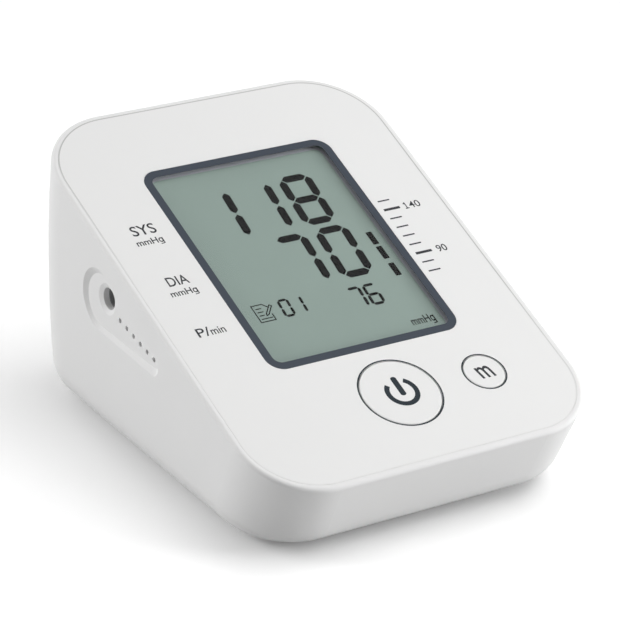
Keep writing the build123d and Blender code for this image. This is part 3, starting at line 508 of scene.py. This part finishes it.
level_x, level_width, level_height = 0.02315, 0.0018, 0.0047
level_bars = [bar(level_x, up, level_width, level_height, segment_thickness, round_ends=False)
              for up in (0.07667, 0.07113, 0.06467)]
settle(joined(level_bars), "level_bars", glass_face_depth, segment_black, "case")
display_unit = unit_legend(0.02085, 0.04490, 0.0073, 0.0027, segment_thickness, weight=0.00008)
settle(display_unit, "display_unit", glass_face_depth, segment_black, "case")

# the memory sign: a written sheet with a pencil across its corner
sheet_left, sheet_right, sheet_low, sheet_high, pen = -0.0222, -0.0178, 0.0578, 0.0637, 0.00030
fold_left, fold_low, broken_off = sheet_right - 0.0012, sheet_high - 0.0013, sheet_low + 0.0021
line_left = sheet_left + 0.0008
sign_shift = (-0.00015, -0.00065, 0)
sheet_edges = [
    ((sheet_left, sheet_low), (sheet_left, sheet_high)),
    ((sheet_left, sheet_high), (fold_left, sheet_high)),
    ((fold_left, sheet_high), (sheet_right, fold_low)),
    ((sheet_left, sheet_low), (sheet_right, sheet_low)),
    ((sheet_right, sheet_low), (sheet_right, broken_off))]
written_lines = [((line_left, up), (end, up)) for up, end in (
    (0.0624, sheet_left + 0.0023), (0.0612, sheet_left + 0.0023), (0.0600, sheet_left + 0.0020),
    (0.0588, sheet_right - 0.0005))]
pencil = [((-0.0193, 0.0604), (-0.0171, 0.0630)), ((-0.0188, 0.0599), (-0.0166, 0.0625)),
          ((-0.0171, 0.0630), (-0.0166, 0.0625)), ((-0.0193, 0.0604), (-0.0195, 0.0597)),
          ((-0.0188, 0.0599), (-0.0195, 0.0597))]
pieces = []
for (x0, y0), (x1, y1) in sheet_edges + written_lines + pencil:
    run = Vector((x1 - x0, y1 - y0))
    turn = Vector((1, 0)).angle_signed(run)
    pieces.append(bar((x0 + x1) / 2, (y0 + y1) / 2, run.length + pen, pen, segment_thickness, turn=-turn))
sign = joined(pieces)
sign.data.transform(Matrix.Translation(sign_shift))
settle(sign, "memory_sign", glass_face_depth, segment_black, "case")

# ------------------------------------------------------------------ buttons and their switches
# Two round caps of the same white ABS stand flush in the face plate, each in a thin gap with a printed ring.
# The power sign and the letter m are printed on them; each stem presses the plunger of a tact switch.
buttons_up = 0.0239
memory_x = 0.0259
dress(face_white, "power_button", "memory_button")
sign_ink = moulding("sign ink", colour=(0.014, 0.021, 0.028), shade=(0.021, 0.030, 0.039), grain=9000,
                    gloss=(0.50, 0.62), pit_depth=0.000003, cloud=300.0, Specular_IOR_Level=0.15)


def ring(name, x, up, inner, outer):
    """a thin printed ring on the face plate, round the opening of a cap"""
    bpy.ops.mesh.primitive_circle_add(vertices=128, radius=outer, fill_type="NGON", location=(0, 0, 0))
    piece = bpy.context.object
    open_middle(outer - inner)
    thicken(ink_thickness)
    piece.data.transform(Matrix.Translation((x, up, 0)))
    return settle(piece, name, trim_sink, sign_ink, "case")


ring("power_ring", 0.0, buttons_up, 0.01103, 0.01144)
ring("memory_ring", memory_x, buttons_up, 0.00580, 0.00617)

# the power sign: an arc that is open at the top, wider to the left, with a bar in the opening
arc_radius, arc_stroke = 0.00475, 0.00140
arc_x, arc_up = 0.00055, 0.0240
gap_left, gap_right = -0.95, 0.66
mark_x, mark_up, mark_length, mark_width = 0.00050, 0.0260, 0.0065, 0.00165
bpy.ops.mesh.primitive_circle_add(vertices=120, radius=arc_radius, fill_type="NGON", location=(0, 0, 0))
arc = bpy.context.object
bpy.ops.object.mode_set(mode="EDIT")
bpy.ops.mesh.select_all(action="SELECT")
bpy.ops.mesh.inset(thickness=arc_stroke)
bpy.ops.mesh.select_mode(type="FACE")
bpy.ops.object.mode_set(mode="OBJECT")
for face in arc.data.polygons:
    middle = face.center
    is_inside = len(face.vertices) > 4
    face.select = is_inside or (middle.y > 0 and middle.y * gap_left < middle.x < middle.y * gap_right)
bpy.ops.object.mode_set(mode="EDIT")
bpy.ops.mesh.delete(type="FACE")
bpy.ops.object.mode_set(mode="OBJECT")
thicken(ink_thickness)
arc.data.transform(Matrix.Translation((arc_x, arc_up, 0)))
mark = bar(mark_x, mark_up, mark_length, mark_width, ink_thickness, turn=pi / 2)
settle(joined([arc, mark]), "power_sign", trim_sink, sign_ink, "power_key")
letter = legend("m", x=0.0260, up=0.0218, width=0.0050, height=0.0039, thickness=ink_thickness, weight=0.00012,
                slant=-0.26)
settle(letter, "memory_letter", trim_sink, ink, "memory_key")

switch_black = moulding("switch housing", colour=(0.025, 0.025, 0.027), shade=(0.04, 0.04, 0.042), grain=2600,
                        gloss=(0.40, 0.55), pit_depth=0.00001)
switch_stem = moulding("switch stem", colour=(0.55, 0.53, 0.48), shade=(0.50, 0.48, 0.44), grain=3000,
                       gloss=(0.35, 0.45), pit_depth=0.000006)
dress(switch_black, "power_switch", "memory_switch")
dress(switch_stem, "power_switch_plunger", "memory_switch_plunger")

# ------------------------------------------------------------------ main board and what it carries
# The board is glass-fibre laminate under green solder mask, with copper tracks showing paler through it.
# The controller, the buzzer, the pressure sensor, two capacitors and the wire header are on its lower face.
# Six small zinc-plated screws hold it.
board_mask = bpy.data.materials.new("green solder mask")
board_mask.use_nodes = True
nodes, links = board_mask.node_tree.nodes, board_mask.node_tree.links
mask = nodes["Principled BSDF"]
mask.inputs["Coat Weight"].default_value = 0.5
place = nodes.new("ShaderNodeTexCoord")
tracks = nodes.new("ShaderNodeTexBrick")
tracks.inputs["Scale"].default_value = 60.0
tracks.inputs["Mortar Size"].default_value = 0.035
tracks.inputs["Color1"].default_value = (0.012, 0.085, 0.030, 1)
tracks.inputs["Color2"].default_value = (0.016, 0.100, 0.036, 1)
tracks.inputs["Mortar"].default_value = (0.040, 0.210, 0.075, 1)
weave = nodes.new("ShaderNodeTexNoise")
weave.inputs["Scale"].default_value = 1800.0
weave_gloss = nodes.new("ShaderNodeMapRange")
weave_gloss.inputs["To Min"].default_value = 0.22
weave_gloss.inputs["To Max"].default_value = 0.40
links.new(place.outputs["Object"], tracks.inputs["Vector"])
links.new(place.outputs["Object"], weave.inputs["Vector"])
links.new(tracks.outputs["Color"], mask.inputs["Base Color"])
links.new(weave.outputs["Fac"], weave_gloss.inputs["Value"])
links.new(weave_gloss.outputs["Result"], mask.inputs["Roughness"])
dress(board_mask, "main_board")
dress(zinc, "board_screws")
chip_black = moulding("moulded epoxy", colour=(0.018, 0.018, 0.020), shade=(0.028, 0.028, 0.030), grain=3600,
                      gloss=(0.45, 0.62), pit_depth=0.00001)
dress(chip_black, "controller_chip", "buzzer")
capacitor_sleeve = moulding("capacitor sleeve", colour=(0.030, 0.034, 0.050), shade=(0.042, 0.047, 0.066),
                            grain=2400, gloss=(0.28, 0.42), pit_depth=0.000008)
dress(capacitor_sleeve, "board_capacitors")
header_nylon = moulding("header nylon", colour=(0.72, 0.71, 0.66), shade=(0.66, 0.65, 0.61), grain=2600,
                        gloss=(0.34, 0.48), pit_depth=0.000008)
dress(header_nylon, "wire_header")
sensor_case = moulding("sensor case", colour=(0.62, 0.61, 0.58), shade=(0.56, 0.55, 0.53), grain=3000,
                       gloss=(0.35, 0.50), pit_depth=0.00001)
dress(sensor_case, "pressure_sensor")

# ------------------------------------------------------------------ batteries and their contacts
# Four AA cells in a printed foil wrap lie side by side in the bay, turned end for end.
# Nickel-plated springs and plates join them at the bay's ends.
cell_half_length = 0.0270
copper_start, bare_start = 0.60, 0.985
cell_wrap = bpy.data.materials.new("cell wrap")
cell_wrap.use_nodes = True
nodes, links = cell_wrap.node_tree.nodes, cell_wrap.node_tree.links
wrap = nodes["Principled BSDF"]
wrap.inputs["Coat Weight"].default_value = 0.6
place = nodes.new("ShaderNodeTexCoord")
along = nodes.new("ShaderNodeSeparateXYZ")
reach = nodes.new("ShaderNodeMath")
reach.operation = "ABSOLUTE"
bands = nodes.new("ShaderNodeValToRGB")
bands.color_ramp.interpolation = "CONSTANT"
bands.color_ramp.elements[0].color = (0.030, 0.034, 0.045, 1)
bands.color_ramp.elements[1].position = copper_start
bands.color_ramp.elements[1].color = (0.36, 0.20, 0.09, 1)
bare_can = bands.color_ramp.elements.new(bare_start)
bare_can.color = (0.72, 0.72, 0.72, 1)
to_unit = nodes.new("ShaderNodeMapRange")
to_unit.inputs["From Max"].default_value = cell_half_length
scuffs = nodes.new("ShaderNodeTexNoise")
scuffs.inputs["Scale"].default_value = 400.0
scuff_gloss = nodes.new("ShaderNodeMapRange")
scuff_gloss.inputs["To Min"].default_value = 0.18
scuff_gloss.inputs["To Max"].default_value = 0.36
links.new(place.outputs["Object"], along.inputs["Vector"])
links.new(along.outputs["X"], reach.inputs[0])
links.new(reach.outputs["Value"], to_unit.inputs["Value"])
links.new(to_unit.outputs["Result"], bands.inputs["Fac"])
links.new(bands.outputs["Color"], wrap.inputs["Base Color"])
links.new(place.outputs["Object"], scuffs.inputs["Vector"])
links.new(scuffs.outputs["Fac"], scuff_gloss.inputs["Value"])
links.new(scuff_gloss.outputs["Result"], wrap.inputs["Roughness"])
dress(cell_wrap, "battery_cell_1", "battery_cell_2", "battery_cell_3", "battery_cell_4")
nickel = metal("nickel plate", colour=(0.70, 0.68, 0.64), roughness=0.26, across=1400, along=1400, streak=0.06)
dress(nickel, "contact_springs", "contact_plates")

# ------------------------------------------------------------------ pump
# A small motor turns a slanted pin that rocks three rubber cups over a valve plate.
# The motor's steel can sits in a rubber sleeve, the head is black nylon, and the moving pieces are white acetal.
motor_can = metal("motor can", colour=(0.55, 0.55, 0.56), roughness=0.30, across=2400, along=120)
dress(motor_can, "pump_motor")
shaft_steel = metal("ground steel", colour=(0.66, 0.66, 0.67), roughness=0.18, across=3000, along=200, streak=0.05)
dress(shaft_steel, "pump_shaft")
nylon_black = moulding("black nylon", colour=(0.020, 0.020, 0.022), shade=(0.032, 0.032, 0.034), grain=2400,
                       gloss=(0.42, 0.58), pit_depth=0.000015)
dress(nylon_black, "pump_head", "pump_cap")
acetal = moulding("white acetal", colour=(0.74, 0.74, 0.71), shade=(0.69, 0.69, 0.66), grain=2600,
                  gloss=(0.30, 0.42), pit_depth=0.000006)
dress(acetal, "pump_crank", "pump_rocker", "pump_valve_plate")
pump_rubber = moulding("pump rubber", colour=(0.035, 0.035, 0.037), shade=(0.055, 0.055, 0.057), grain=3800,
                       gloss=(0.68, 0.86), pit_depth=0.00002)
dress(pump_rubber, "pump_sleeve", "pump_diaphragm")

# ------------------------------------------------------------------ air line
# Milky silicone tubes push over plain barbs and join the socket, the pump, the valve and the sensor.
# The socket is a grey moulding behind the hole in the left wall, and the joint between the tubes is acetal.
# The exhaust valve is a steel can with a ground steel plunger.
silicone = moulding("milky silicone", colour=(0.66, 0.67, 0.66), shade=(0.60, 0.61, 0.60), grain=1800,
                    gloss=(0.32, 0.46), pit_depth=0.00001, Subsurface_Weight=0.25, Subsurface_Scale=0.002)
dress(silicone, "socket_tube", "pump_tube", "valve_tube", "sensor_tube")
socket_grey = moulding("socket grey", colour=(0.26, 0.26, 0.265), shade=(0.30, 0.30, 0.305), grain=2600,
                       gloss=(0.40, 0.55), pit_depth=0.00001)
dress(socket_grey, "air_socket")
dress(acetal, "air_joint")
dress(motor_can, "valve_body")
dress(shaft_steel, "valve_plunger")

# ------------------------------------------------------------------ mains socket
# The socket for the plug of a mains adaptor is of black nylon, as the pump's head is.
# It stands behind the hole in the right wall.
dress(nylon_black, "mains_socket")

# ------------------------------------------------------------------ table, light and camera
# A pale seamless table under large soft lamps, plain enough to judge the finishes by.
# Away from the object the table fades into the white surround.


def looked_at(nodes, links):
    """1 for what the camera sees, straight, mirrored or through glass, and 0 for the light that falls on things"""
    path = nodes.new("ShaderNodeLightPath")
    mirrored = nodes.new("ShaderNodeMath")
    mirrored.operation = "MAXIMUM"
    through = nodes.new("ShaderNodeMath")
    through.operation = "MAXIMUM"
    links.new(path.outputs["Is Camera Ray"], mirrored.inputs[0])
    links.new(path.outputs["Is Glossy Ray"], mirrored.inputs[1])
    links.new(mirrored.outputs["Value"], through.inputs[0])
    links.new(path.outputs["Is Transmission Ray"], through.inputs[1])
    return through.outputs["Value"]


table_size = 6.0
fade_start, fade_end = 0.20, 0.50
bpy.ops.object.select_all(action="DESELECT")
bpy.ops.mesh.primitive_plane_add(size=table_size, location=(0, 0, 0))
table = bpy.context.object
table.name = "table"
table_white = bpy.data.materials.new("table white")
table_white.use_nodes = True
nodes, links = table_white.node_tree.nodes, table_white.node_tree.links
top = nodes["Principled BSDF"]
top.inputs["Roughness"].default_value = 0.9
paler = nodes.new("ShaderNodeMix")
paler.data_type = "RGBA"
paler.inputs["A"].default_value = (0.60, 0.60, 0.60, 1)
paler.inputs["B"].default_value = (1.20, 1.20, 1.20, 1)
to_camera = looked_at(nodes, links)
links.new(to_camera, paler.inputs["Factor"])
links.new(paler.outputs["Result"], top.inputs["Base Color"])
place = nodes.new("ShaderNodeTexCoord")
away = nodes.new("ShaderNodeVectorMath")
away.operation = "LENGTH"
fade = nodes.new("ShaderNodeMapRange")
fade.interpolation_type = "SMOOTHSTEP"
fade.inputs["From Min"].default_value = fade_start
fade.inputs["From Max"].default_value = fade_end
both = nodes.new("ShaderNodeMath")
both.operation = "MULTIPLY"
surround_white = nodes.new("ShaderNodeEmission")
surround_white.inputs["Color"].default_value = (1, 1, 1, 1)
faded = nodes.new("ShaderNodeMixShader")
links.new(place.outputs["Object"], away.inputs[0])
links.new(away.outputs["Value"], fade.inputs["Value"])
links.new(fade.outputs["Result"], both.inputs[0])
links.new(to_camera, both.inputs[1])
links.new(both.outputs["Value"], faded.inputs["Fac"])
links.new(top.outputs["BSDF"], faded.inputs[1])
links.new(surround_white.outputs["Emission"], faded.inputs[2])
links.new(faded.outputs["Shader"], nodes["Material Output"].inputs["Surface"])
table.data.materials.append(table_white)

# the surround lights the object from the back left, and looks white wherever it is seen
brightest_side = (-0.5, 0.85, 0.0)
dimmest, brightest = 0.02, 0.54
world = bpy.data.worlds.new("studio")
bpy.context.scene.world = world
world.use_nodes = True
nodes, links = world.node_tree.nodes, world.node_tree.links
surround = nodes["Background"]
surround.inputs["Color"].default_value = (1, 1, 1, 1)
around = nodes.new("ShaderNodeTexCoord")
facing = nodes.new("ShaderNodeVectorMath")
facing.operation = "DOT_PRODUCT"
facing.inputs[1].default_value = brightest_side
fall_off = nodes.new("ShaderNodeMapRange")
fall_off.inputs["From Min"].default_value = -1.0
fall_off.inputs["To Min"].default_value = dimmest
fall_off.inputs["To Max"].default_value = brightest
level = nodes.new("ShaderNodeMix")
level.inputs["B"].default_value = 1.0
links.new(around.outputs["Generated"], facing.inputs[0])
links.new(facing.outputs["Value"], fall_off.inputs["Value"])
links.new(looked_at(nodes, links), level.inputs["Factor"])
links.new(fall_off.outputs["Result"], level.inputs["A"])
links.new(level.outputs["Result"], surround.inputs["Strength"])


def softbox(name, place, size, power, aim=(0, 0, 0.03)):
    """a square area lamp that faces a point"""
    bpy.ops.object.light_add(type="AREA", location=place)
    lamp = bpy.context.object
    lamp.name = name
    lamp.data.size = size
    lamp.data.energy = power
    lamp.rotation_euler = (Vector(aim) - Vector(place)).to_track_quat("-Z", "Y").to_euler()
    return lamp


softbox("top softbox", place=(0.42, -0.25, 1.18), size=1.0, power=8.2)
softbox("right softbox", place=(0.80, -0.60, 0.18), size=0.5, power=7.7)
softbox("left softbox", place=(-1.08, 0.90, 0.55), size=0.7, power=10.0)

camera_place = (-0.42674, -0.64000, 0.39294)
camera_turn = (1.1360918, -0.0419849, -0.5693084)
bpy.ops.object.camera_add(location=camera_place, rotation=camera_turn)
camera = bpy.context.object
camera.name = "camera"
camera.data.sensor_fit = "HORIZONTAL"
camera.data.sensor_width = 36.0
camera.data.lens = 187.93
camera.data.clip_start = 0.05
camera.data.clip_end = 20.0
bpy.context.scene.camera = camera
bpy.context.scene.view_settings.view_transform = "Standard"
